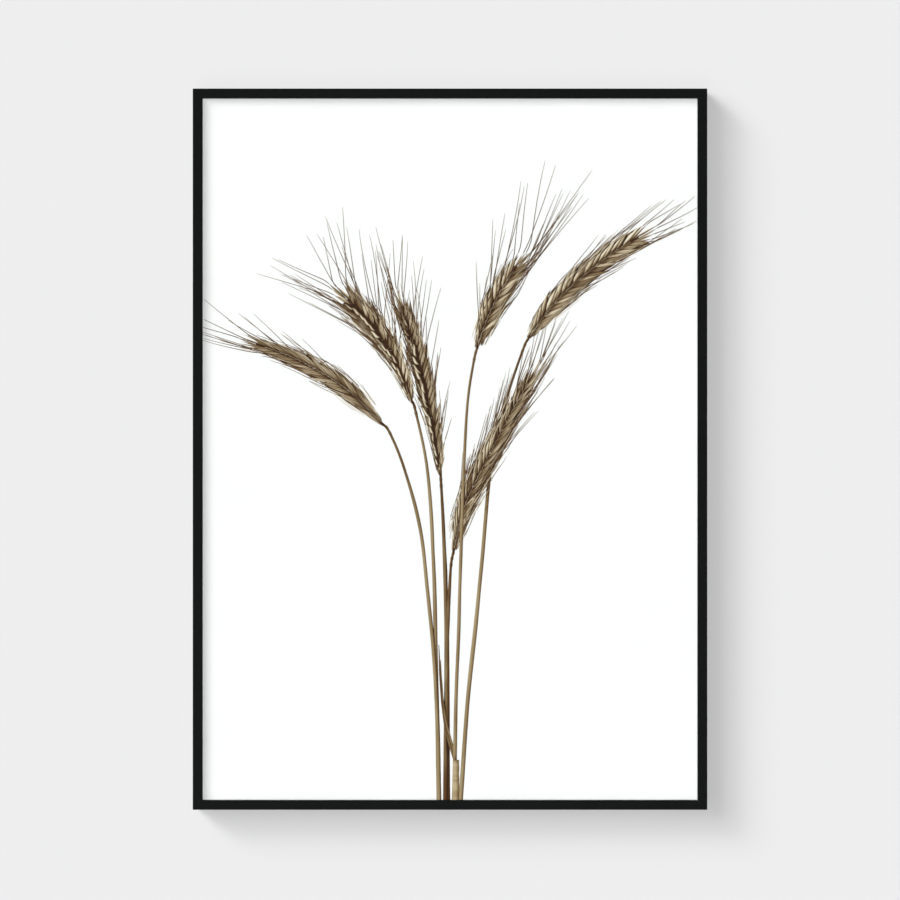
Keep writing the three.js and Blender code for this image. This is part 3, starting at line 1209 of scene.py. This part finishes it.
    def strand(self, start: Array, headings: Array, length: float, half: float, slope: float,
               colours: tuple[Array, Array]) -> None:
        """Adds one fine strand, unlit, with a painted highlight down its middle and painted shade along its
        edges.
            length: In mm.
            half: Half its width at the root, in mm.
            slope: How far its end stands proud of its root, in mm.
            colours: At its root and at its end.
        """
        u = np.linspace(0, 1, len(headings))
        line = start[:2] + np.vstack([np.zeros(2), np.cumsum(headings, 0)[:-1]]) * length / len(u)
        thick = (half * (1 - u) ** 0.6 + 0.12)[:, None]
        v = np.array([-1.0, 0.0, 1.0])
        grid = np.zeros((len(u), 3, 3))
        grid[..., :2] = line[:, None] + turned(headings, 90.0)[:, None] * (thick * v)[..., None]
        grid[..., 2] = start[2] + slope * u[:, None] + 0.3 * (1 - np.abs(v)) * thick
        fade = (u**1.4)[:, None, None]
        colour = colours[0] * (1 - fade) + colours[1] * fade
        # Painted highlight down the strand's middle column and painted shade on its two edges, the
        # right-hand edge darker
        self.relief.add(grid, colour * np.array([0.8, 1.15, 0.9])[None, :, None], lit=False)


@dataclass(frozen=True)
class StemPlan:
    """One stem or dry leaf.

    Attributes:
        name: Its piece's name.
        line: Points from its top to its foot.
        width: Across its top and its foot, in mm.
        height: Of its top and of the rest above the sheet, in mm of full relief.
        seed: Starts its own random draws.
        brown: Share of its length from the top that has dried brown.
        tone: Brightness of its straw.
        knots: How much it swells at the knots under its ear.
        foot: How brown its foot is.
    """

    name: str
    line: tuple[SheetPoint, ...]
    width: tuple[float, float]
    height: tuple[float, float]
    seed: int
    brown: float = 0.25
    tone: float = 1.0
    knots: float = 0.3
    foot: float = 0.0


class Stem:
    """Builds a stem from its plan.

    Attributes:
        plan: The plan.
        track: Its middle line.
        rng: Its own random draws.
    """

    KNOTS_AT = (6.0, 10.5, 16.0)  # mm below the ear
    KNOT_REACH = 1.4  # mm

    def __init__(self, plan: StemPlan) -> None:
        """Keeps the plan and starts the random draws.

        Args:
            plan: The stem's plan.
        """
        self.plan = plan
        self.track = Track(plan.line)
        self.rng = np.random.default_rng(plan.seed)

    def build(self) -> Relief:
        """Draws a round straw that thickens towards its foot, with faint ribs and brown stretches.

        Returns:
            The finished relief.
        """
        plan, rng = self.plan, self.rng
        rows = max(int(self.track.length / 1.1), 12)
        t = np.linspace(0, 1, rows)
        v = np.linspace(-1, 1, 9)
        centre, heading = self.track.at(t), self.track.along(t)
        wobble = np.interp(t, np.linspace(0, 1, 14), rng.normal(0, 0.12, 14))
        half = (np.interp(t, (0, 0.25, 1), (plan.width[0], np.mean(plan.width), plan.width[1])) / 2)
        down = t * self.track.length
        knots = sum(np.exp(-(((down - spot) / self.KNOT_REACH) ** 2)) for spot in self.KNOTS_AT)
        half = half * (1 + 0.3 * wobble + plan.knots * knots)
        across = turned(heading, 90.0)
        grid = np.zeros((rows, len(v), 3))
        off = half[:, None] * v + 0.5 * wobble[:, None]
        grid[..., :2] = centre[:, None] + across[:, None] * off[..., None]
        rise = np.interp(t, (0.03, 0.15), plan.height)
        grid[..., 2] = rise[:, None] + half[:, None] * np.sqrt(np.maximum(1 - v**2, 0.0))
        ribs = 0.5 + 0.5 * np.cos(v * 9.0 + rng.uniform(0, 6))
        drift = np.interp(t, np.linspace(0, 1, 22), rng.uniform(-0.1, 0.35, 22))
        dried = np.clip(1.15 - t / max(plan.brown, 0.01), 0, 1) * 0.7
        aged = plan.foot * np.clip((t - 0.55) / 0.35, 0, 1)
        brown = np.clip(drift + dried + aged, 0, 0.9)[:, None, None]
        colour = Pigment.STEM * (1 - brown) + Pigment.STEM_DARK * brown
        colour = colour * (0.9 + 0.16 * ribs)[None, :, None] * plan.tone
        made = Relief(plan.name)
        made.add(grid, np.broadcast_to(colour, grid.shape).copy())
        return made


@dataclass(frozen=True)
class Light:
    """The light that the ears are drawn under.

    Attributes:
        towards: Direction to the light on the sheet's axes.
        sun: Strength of the light.
        sky: Strength of the even light.
        reach: How far a husk darkens another, in mm.
        contrast: How much the ink deepens the shades, where 0 leaves them as they are.
        pivot: Brightness that the contrast leaves alone.
        shade_tint: Warmth of the deepest shades, by red, green and blue.
        level: Brightness of a white sheet in the studio, as seen through the glass.
    """

    towards: tuple[float, float, float] = (-0.55, 0.62, 0.72)
    sun: float = 0.62
    sky: float = 0.62
    reach: float = 9.0
    contrast: float = 1.1
    pivot: float = 0.39
    shade_tint: tuple[float, float, float] = (1.16, 0.97, 0.78)
    level: float = 1.35


class Press:
    """Lights the reliefs, flattens them and prints them on the sheet.

    Attributes:
        light: The picture's own light.
        material: The ink's material.
        middle: X of the sheet's middle, in metres.
        half_width: Half the sheet's width, in mm.
        bottom: Z of the sheet's bottom edge, in metres.
        face: Y of the sheet's printed side, in metres.
        room: Between the sheet and the glass, in metres.
    """

    FLATTENED = 0.62  # share of the room that the relief takes up
    CLEARANCE = 0.12  # share of the room between the sheet and the lowest ink
    SKY_HEIGHTS = (0.35, 0.6, 0.9, 0.35, 0.6, 0.9, 3.0)
    GOLDEN_TURN = 2.4  # radians between two directions

    def __init__(self, light: Light, material: bpy.types.Material) -> None:
        """Finds the sheet's place.

        Args:
            light: The picture's own light.
            material: The ink's material.
        """
        self.light = light
        self.material = material
        low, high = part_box("print_sheet")
        self.middle = (low.x + high.x) / 2
        self.half_width = (high.x - low.x) / 2 / MM
        self.bottom = low.z
        self.face = low.y
        self.room = low.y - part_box("glazing")[1].y

    def run(self, reliefs: list[Relief]) -> list[bpy.types.Object]:
        """Prints all the reliefs.

        Args:
            reliefs: The ears, stems and leaves.

        Returns:
            The printed pieces.
        """
        parts = [relief.gathered() for relief in reliefs]
        shift, points, faces = 0, [], []
        for part in parts:
            points.append(part[0])
            faces.append(part[4] + shift)
            shift += len(part[0])
        all_points = np.concatenate(points)
        tree = BVHTree.FromPolygons(all_points.tolist(), np.concatenate(faces).tolist())
        deepest, highest = all_points[:, 2].min(), all_points[:, 2].max()
        press = (deepest, self.room / MM * self.FLATTENED / (highest - deepest))
        return [self.printed(relief.name, part, tree, press)
                for relief, part in zip(reliefs, parts, strict=True)]

    def shade(self, points: Array, normals: Array, lit: Array, tree: BVHTree) -> Array:
        """Works out the light on each point.

        Args:
            points: Points in full relief.
            normals: Their normals.
            lit: Which points take light and shade.
            tree: Everything that can shade them.

        Returns:
            Brightness for each point.
        """
        sun = unit(np.array(self.light.towards))
        around = np.arange(len(self.SKY_HEIGHTS)) * self.GOLDEN_TURN
        spread = [unit(np.array([math.cos(a), math.sin(a), h]))
                  for a, h in zip(around, self.SKY_HEIGHTS, strict=True)]
        facing = np.clip(normals @ sun, 0, 1)
        result = np.full(len(points), 0.95)
        starts = points + normals * 0.12
        for i in np.flatnonzero(lit):
            start = Vector(starts[i])
            normal = normals[i]
            open_share, total = 0.0, 0.0
            for direction in spread:
                weight = max(float(normal @ direction), 0.0)
                if weight > 0.02:
                    total += weight
                    hit = tree.ray_cast(start, Vector(direction), self.light.reach)
                    far = 1.0 if hit[0] is None else min(hit[3] / self.light.reach, 1.0) * 0.6
                    open_share += weight * far
            sky = open_share / total if total else 0.3
            blocked = facing[i] > 0 and tree.ray_cast(start, Vector(sun), self.light.reach)[0] is not None
            direct = 0.0 if blocked else facing[i]
            result[i] = self.light.sky * sky**1.6 + self.light.sun * direct
        return result

    @staticmethod
    def seen(points: Array, faces: Array, tree: BVHTree) -> Array:
        """Finds the faces that something in front doesn't hide, and their neighbours.

        Args:
            points: Points in full relief.
            faces: Faces of four.
            tree: Everything that can hide them.

        Returns:
            A mask of the faces to keep.
        """
        forward = Vector((0.0, 0.0, 1.0))
        free = np.array([tree.ray_cast(Vector(p) + forward * 0.02, forward)[0] is None for p in points])
        near = np.zeros(len(points), bool)
        near[faces[free[faces].any(1)]] = True
        return near[faces].any(1)

    def printed(self, name: str, part: tuple[Array, ...], tree: BVHTree,
                press: tuple[float, float]) -> bpy.types.Object:
        """Prints one piece.

        Args:
            name: The piece's name.
            part: What Relief.gathered() gave.
            tree: All the reliefs together.
            press: The lowest height of the full relief and the share of height that is kept.

        Returns:
            The printed piece.
        """
        points, normals, colours, lit, faces = part
        bright = self.shade(points, normals, lit, tree)
        ink = colours * bright[:, None]
        deep = np.where(lit, (ink.mean(1) / self.light.pivot) ** self.light.contrast, 1.0)[:, None]
        warmth = np.array(self.light.shade_tint) ** (1 - np.clip(deep, 0, 1))
        ink = Pigment.toned(np.clip(ink * deep * warmth, 0.003, 0.9), self.light.level)
        faces = faces[self.seen(points, faces, tree)]
        inside = (np.abs(points[:, 0]) < self.half_width) & (points[:, 1] > 0.0)
        faces = faces[inside[faces].all(1)]
        used, flat = np.unique(faces, return_inverse=True)
        faces = flat.reshape(-1, 4)
        points, ink = points[used], ink[used]
        deepest, keep = press
        lift = (points[:, 2] - deepest) * keep + self.room / MM * self.CLEARANCE
        placed = np.stack([self.middle + points[:, 0] * MM, self.face - lift * MM,
                           self.bottom + points[:, 1] * MM], -1)
        mesh = bpy.data.meshes.new(name)
        mesh.from_pydata(placed.tolist(), [], faces.tolist())
        layer = mesh.color_attributes.new(INK, "FLOAT_COLOR", "POINT")
        layer.data.foreach_set("color", np.column_stack([ink, np.ones(len(ink))]).ravel())
        self.face_forward(mesh)
        self.add_map(mesh, points[:, :2])
        mesh.materials.append(self.material)
        mesh.shade_smooth()
        piece = add_object(name, mesh)
        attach(piece, "root")
        log.info("%s: %d faces", name, len(mesh.polygons))
        return piece

    @staticmethod
    def face_forward(mesh: bpy.types.Mesh) -> None:
        """Turns every face towards the glass.

        Args:
            mesh: The piece's mesh.
        """
        for polygon in mesh.polygons:
            if polygon.normal.y > 0:
                polygon.flip()
        mesh.update()

    @staticmethod
    def add_map(mesh: bpy.types.Mesh, places: Array) -> None:
        """Lays a map straight on the sheet, so that one picture holds the whole piece.

        Args:
            mesh: The piece's mesh.
            places: Its points on the sheet.
        """
        low, high = places.min(0), places.max(0)
        fitted = 0.01 + 0.98 * (places - low) / np.maximum(high - low, 1e-6)
        corners = np.zeros(len(mesh.loops), np.int32)
        mesh.loops.foreach_get("vertex_index", corners)
        mesh.uv_layers.new(name=BAKE_MAP).data.foreach_set("uv", fitted[corners].ravel())


class WheatPicture:
    """The picture: six ears on long stems that meet at the bottom edge of the sheet."""

    SLIM = HuskShape(length=23.0, width=3.4, swell=1.2, lift=2.4, curl=1.3)
    SOFT = HuskShape(length=24.0, width=2.6, swell=0.9, lift=2.0, curl=1.6)
    PLUMP = HuskShape(length=20.0, width=4.2, swell=1.8, lift=2.8, curl=0.4)

    EARS = (
        EarPlan("printed_ear_far_left", ((-57, 319), (-84, 346), (-111, 364), (-139, 378), (-172, 389)),
                View.FACE, spread=21.0, husk=SOFT, pitch=4.4, awn=56.0, left_awns=(160.0, 171.0),
                right_awns=(142.0, 164.0), height=8.0, seed=11, tone=0.86, hairs=50, bloom=0.2,
                taper=0.55, splay=0.95, bristles=0.5),
        EarPlan("printed_ear_upper_left", ((-32, 338), (-41, 364), (-55, 389), (-72, 411), (-92, 429)),
                View.EDGE, spread=27.0, husk=PLUMP, pitch=5.6, awn=72.0, left_awns=(148.0, 162.0),
                right_awns=(94.0, 120.0), height=9.0, seed=12, tone=1.1, hairs=70, bloom=0.8, taper=0.1,
                splay=1.15, bristles=1.25, ruffle=2.2),
        EarPlan("printed_ear_middle", ((-8, 276), (-13, 314), (-21, 352), (-31, 390), (-43, 424)),
                View.EDGE, spread=19.0, husk=PLUMP, pitch=5.4, awn=54.0, left_awns=(96.0, 110.0),
                right_awns=(80.0, 94.0), height=4.0, seed=13, tone=1.03, hairs=50, bloom=0.6, taper=0.45,
                splay=1.0, bristles=1.1, ruffle=1.6),
        EarPlan("printed_ear_upper_right", ((23, 384), (31, 407), (41, 428), (52, 446), (64, 460)),
                View.FACE, spread=26.0, husk=SLIM, pitch=5.6, awn=82.0, left_awns=(66.0, 83.0),
                right_awns=(51.0, 63.0), height=8.0, seed=14, tone=0.98, hairs=40, bloom=0.3, taper=0.62,
                splay=1.25, bristles=1.35, ruffle=1.2),
        EarPlan("printed_ear_far_right", ((66, 391), (88, 421), (116, 447), (143, 467), (166, 480)),
                View.FACE, spread=22.0, husk=SLIM, pitch=6.6, awn=48.0, left_awns=(29.0, 41.0),
                right_awns=(20.0, 29.0), height=9.0, seed=15, tone=0.95, hairs=36, bloom=0.2, taper=0.25,
                splay=1.25),
        EarPlan("printed_ear_lower_right", ((3, 211), (12, 249), (31, 289), (53, 331), (74, 368)),
                View.FACE, spread=22.0, husk=SOFT, pitch=4.8, awn=54.0, left_awns=(64.0, 80.0),
                right_awns=(50.0, 64.0), height=5.0, seed=16, tone=0.96, hairs=110, bloom=0.25,
                taper=0.66, splay=1.1, bristles=1.1, ruffle=1.2),
    )

    STEMS = (
        StemPlan("printed_stem_far_left",
                 ((-61, 323), (-57, 319), (-51, 312), (-38, 280), (-25, 230), (-19, 179), (-14, 129),
                  (-11, 78), (-9, 3), (-9, -4)), width=(1.8, 3.9), height=(3.4, 3.4), seed=21, brown=0.3),
        StemPlan("printed_stem_upper_left",
                 ((-34, 343), (-32, 338), (-29, 330), (-19, 280), (-14, 205), (-12, 129), (-10.5, 60),
                  (-9.5, 3), (-9.5, -4)), width=(2.0, 3.8), height=(2.2, 2.2), seed=22, brown=0.12),
        StemPlan("printed_stem_middle",
                 ((-9, 281), (-8, 276), (-5, 221), (-3, 154), (-2.6, 87), (-2.4, 3), (-2.4, -4)),
                 width=(1.8, 5.2), height=(0.8, 0.8), seed=23, brown=0.35, tone=0.9, foot=0.6),
        StemPlan("printed_stem_upper_right",
                 ((25, 389), (23, 384), (20, 372), (15, 339), (12, 289), (9, 205), (7, 137), (5, 87),
                  (4, 36), (3, -4)), width=(1.8, 3.2), height=(5.0, 12.5), seed=24, brown=0.25),
        StemPlan("printed_stem_far_right",
                 ((68, 395), (66, 391), (62, 383), (50, 348), (39, 306), (33, 272), (27, 205), (22, 154),
                  (15, 87), (9, 3), (8, -4)), width=(1.8, 3.8), height=(1.4, 1.4), seed=25, brown=0.4),
        StemPlan("printed_stem_lower_right",
                 ((4, 216), (3, 211), (1, 200), (-1, 171), (-2.6, 129), (-3.4, 87), (-4, 3), (-4, -4)),
                 width=(2.0, 3.8), height=(2.6, 4.2), seed=26, brown=0.4, tone=0.9, foot=0.7),
    )

    LEAVES = (
        StemPlan("printed_leaf_long", ((-9.4, 133), (-8.6, 112), (-6.6, 84), (-3, 60), (4, 35.5)),
                 width=(0.6, 2.4), height=(6.2, 6.2), seed=31, brown=0.9, tone=0.8, knots=0.0),
        StemPlan("printed_leaf_short", ((-8, 120), (-7, 100), (-4, 72), (2, 48), (5, 37)),
                 width=(0.5, 2.0), height=(6.8, 6.8), seed=32, brown=0.7, tone=0.95, knots=0.0),
        StemPlan("printed_leaf_sheath", ((5, 36), (5, 30), (5, 14), (5, -4)), width=(5.0, 5.6),
                 height=(15.0, 15.0), seed=33, brown=0.03, tone=1.2, knots=0.0),
    )

    def print_on_sheet(self, press: Press) -> list[bpy.types.Object]:
        """Builds every relief and prints it.

        Args:
            press: The press.

        Returns:
            The printed pieces.
        """
        reliefs = [Ear(plan).build() for plan in self.EARS]
        reliefs += [Stem(plan).build() for plan in self.STEMS + self.LEAVES]
        return press.run(reliefs)


# ---------------------------------------------------------------------------------------------------------
# The studio
# ---------------------------------------------------------------------------------------------------------


@dataclass(frozen=True)
class SoftLight:
    """A big soft light far away, which stays out of sight.

    Attributes:
        name: Its name.
        towards: Direction to it from the picture.
        width: Degrees across, as seen from the picture.
        strength: Light that it gives, in watts to a square metre that faces it.
        mirrored: Whether glass and gloss show it.
    """

    name: str
    towards: tuple[float, float, float]
    width: float
    strength: float
    mirrored: bool = True

    def make(self) -> None:
        """Makes the light and turns it to the picture."""
        data = bpy.data.lights.new(self.name, "SUN")
        data.angle = math.radians(self.width)
        data.energy = self.strength
        lamp = add_object(self.name, data)
        lamp.rotation_mode = "QUATERNION"
        lamp.rotation_quaternion = (-Vector(self.towards)).to_track_quat("-Z", "Y")
        lamp.visible_camera = False
        lamp.visible_glossy = self.mirrored


@dataclass
class Studio:
    """A plain wall and floor, soft lights and a long lens.

    Attributes:
        middle: The picture's middle, in metres.
        lens: Focal length in mm.
        view_width: Width of what the camera sees at the frame's face, in metres.
        eye_drop: Of the camera below the picture's middle, in metres.
        floor_drop: From the picture's middle to the floor, in metres.
        wall_side: Side of the square wall, in metres.
        lights: The lights.
        world_light: Strength of the even light.
        pale_room: Brightness of the plain room around, to the eye.
        mirrored_room: Brightness of the room behind and beside the frame, as metal mirrors it.
        wall_colour: Linear colour of the wall's paint.
        floor_colour: Linear colour of the floor's paint.
    """

    middle: Vector
    lens: float = 135.0
    view_width: float = 0.7573
    eye_drop: float = 0.0007
    floor_drop: float = 1.5
    wall_side: float = 9.0
    lights: tuple[SoftLight, ...] = (
        SoftLight("front", (0.0, -1.0, 0.0), 8.0, 2.3, mirrored=False),
        SoftLight("key", (-0.7, -0.55, 0.45), 45.0, 1.7),
        SoftLight("key high", (-0.7, -0.4, 0.55), 18.0, 1.25),
        SoftLight("fill", (-0.35, -0.9, -0.2), 70.0, 0.5, mirrored=False),
        SoftLight("back", (0.5, 0.75, 0.42), 30.0, 2.2),
    )
    world_light: float = 0.03
    pale_room: float = 0.85
    mirrored_room: float = 0.75
    wall_colour: Colour = (0.626, 0.626, 0.632)
    floor_colour: Colour = (0.78, 0.78, 0.78)

    def surface(self, name: str, colour: Colour, one_sided: bool) -> bpy.types.Material:
        """Makes a matt painted surface.

        Args:
            name: Its name.
            colour: Linear colour.
            one_sided: Whether it can't be seen from behind.

        Returns:
            The material.
        """
        made, board, place = start_material(name)
        roll = board.add("ShaderNodeTexNoise", {"Vector": place, "Scale": 350.0, "Detail": 3.0})
        bump = board.add("ShaderNodeBump", {"Height": roll.outputs["Fac"], "Distance": 0.0001,
                                            "Strength": 0.15})
        matt = board.add("ShaderNodeBsdfPrincipled", {"Base Color": (*colour, 1.0), "Roughness": 0.9,
                                                      "Specular IOR Level": 0.1, "Normal": bump.outputs[0]})
        shown = matt.outputs[0]
        if one_sided:
            side = board.add("ShaderNodeNewGeometry").outputs["Backfacing"]
            clear = board.add("ShaderNodeBsdfTransparent")
            shown = board.add("ShaderNodeMixShader", {0: side, 1: shown, 2: clear.outputs[0]}).outputs[0]
        board.add("ShaderNodeOutputMaterial", {"Surface": shown})
        return made

    def plane(self, name: str, corners: list[tuple[float, float, float]],
              material: bpy.types.Material) -> None:
        """Makes a flat backdrop.

        Args:
            name: Its name.
            corners: Its four corners, counter-clockwise as seen from its face.
            material: Its surface.
        """
        mesh = bpy.data.meshes.new(name)
        mesh.from_pydata(corners, [], [(0, 1, 2, 3)])
        mesh.materials.append(material)
        made = add_object(name, mesh)
        made.visible_shadow = False
        made.visible_diffuse = name == "wall"
        made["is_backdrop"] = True

    def build_room(self) -> None:
        """Makes the wall on the plane that the pads rest on, and the floor."""
        half = self.wall_side / 2
        x, z = self.middle.x, self.middle.z
        floor = z - self.floor_drop
        wall_paint = self.surface("wall paint", self.wall_colour, True)
        self.plane("wall", [(x - half, 0, floor), (x + half, 0, floor), (x + half, 0, z + half),
                            (x - half, 0, z + half)], wall_paint)
        floor_paint = self.surface("floor paint", self.floor_colour, False)
        self.plane("floor", [(x - half, -half, floor), (x + half, -half, floor), (x + half, half, floor),
                             (x - half, half, floor)], floor_paint)

    def light(self) -> None:
        """Sets the lights, the even light and a plain view of them."""
        for light in self.lights:
            light.make()
        world = bpy.data.worlds.new("studio")
        world.use_nodes = True
        board = Board(world.node_tree)
        way = board.add("ShaderNodeSeparateXYZ", {0: board.add("ShaderNodeTexCoord").outputs["Generated"]})
        behind = board.add("ShaderNodeMapRange", {
            0: way.outputs["Y"], 1: -0.25, 2: 0.45, 3: self.world_light, 4: self.mirrored_room,
        }, interpolation_type="SMOOTHSTEP")
        path = board.add("ShaderNodeLightPath")
        gloss = board.add("ShaderNodeMix", {0: path.outputs["Is Glossy Ray"], 2: self.world_light,
                                            3: behind.outputs[0]})
        level = board.add("ShaderNodeMix", {0: path.outputs["Is Camera Ray"], 2: gloss.outputs[0],
                                            3: self.pale_room})
        even = board.add("ShaderNodeBackground", {"Color": (1.0, 1.0, 1.0, 1.0),
                                                  "Strength": level.outputs[0]})
        board.add("ShaderNodeOutputWorld", {"Surface": even.outputs[0]})
        bpy.context.scene.world = world
        bpy.context.scene.view_settings.view_transform = "Standard"

    def camera(self, face: float) -> None:
        """Stands the camera square in front of the picture.

        Args:
            face: Y of the frame's front face, in metres.
        """
        data = bpy.data.cameras.new("camera")
        data.lens = self.lens
        data.clip_end = 50.0
        made = add_object("camera", data)
        away = self.view_width * self.lens / data.sensor_width
        made.location = (self.middle.x, face - away, self.middle.z - self.eye_drop)
        made.rotation_euler = (math.pi / 2, 0.0, 0.0)
        bpy.context.scene.camera = made


def main() -> None:
    """Builds the picture and its frame, then the studio."""
    logging.basicConfig(level=logging.INFO, format="%(name)s: %(message)s")
    cad_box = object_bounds()
    low, high = cad_box
    studio = Studio(middle=Vector(((low.x + high.x) / 2, (low.y + high.y) / 2, (low.z + high.z) / 2)))
    studio.camera(low.y)
    studio.build_room()
    studio.light()

    effects = Effects()
    paper = PaperStock()
    parts = FrameParts(effects, paper)
    parts.rails()
    parts.hardware()
    parts.panels()
    log.info("dressed %d of %d parts", len(parts.dressed), len(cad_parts))

    pieces = WheatPicture().print_on_sheet(Press(Light(), paper.printed(effects)))
    log.info("printed %d pieces", len(pieces))


if __name__ == "__main__":
    main()
